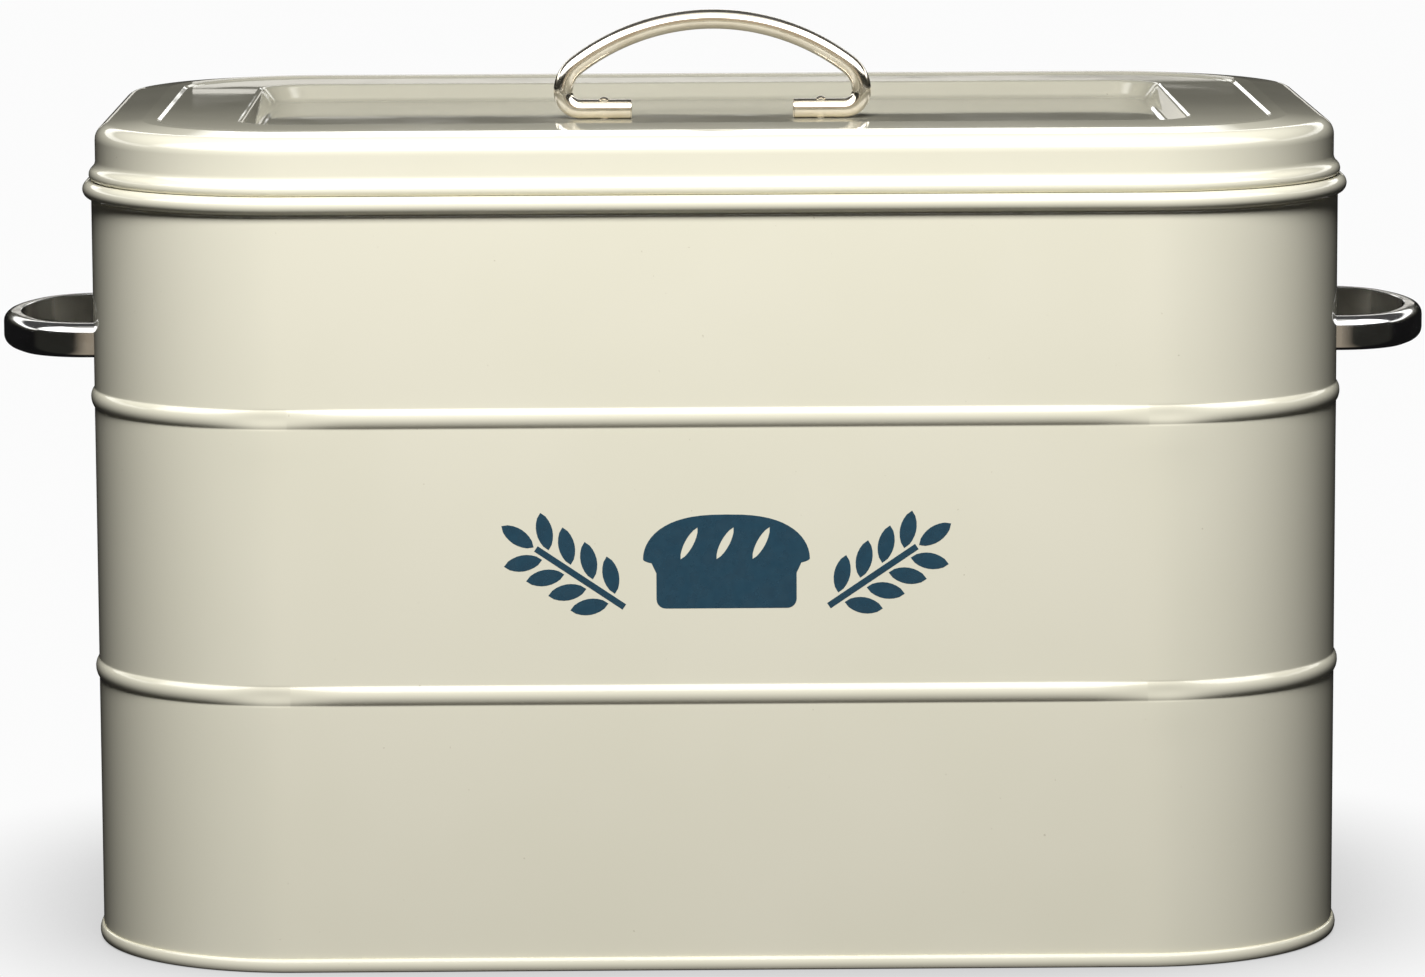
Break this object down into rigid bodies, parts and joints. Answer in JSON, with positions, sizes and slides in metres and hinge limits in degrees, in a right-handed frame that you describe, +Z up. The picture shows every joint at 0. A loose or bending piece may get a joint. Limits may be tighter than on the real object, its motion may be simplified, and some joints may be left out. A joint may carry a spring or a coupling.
{
  "type": "bread bin",
  "caption": "Enamelled sheet-steel bread bin with a lift-off plug lid, bent wire lid handle and level D-shaped side handles.",
  "frame": {"origin": "centre of the footprint, on the plane the bin stands on", "axes": "+X along the bin's length towards its right side handle, +Y towards its back, +Z up"},
  "size_m": [0.394, 0.2146, 0.248],
  "materials": {
    "enamel": "gloss cream enamel",
    "steel_wire": "drawn steel wire",
    "bright_nickel": "bright nickel plate",
    "dark_chrome": "polished chrome plate",
    "zinc_fastener": "bright zinc plate"
  },
  "bodies": {
    "bin": {"body_wall": "enamel", "base_pan": "enamel", "rim_wire": "steel_wire", "side_handle_left": "dark_chrome", "side_handle_right": "dark_chrome", "side_handle_screws": "zinc_fastener", "side_handle_washers": "zinc_fastener"},
    "lid": {"lid_shell": "enamel", "lid_handle": "bright_nickel", "lid_handle_rivets": "bright_nickel", "lid_handle_washers": "zinc_fastener"}
  },
  "joints": [
    {"name": "lid_lift", "type": "slide", "parent": "bin", "child": "lid", "axis": [0, 0, 1], "range_m": [0, 0.15]}
  ]
}
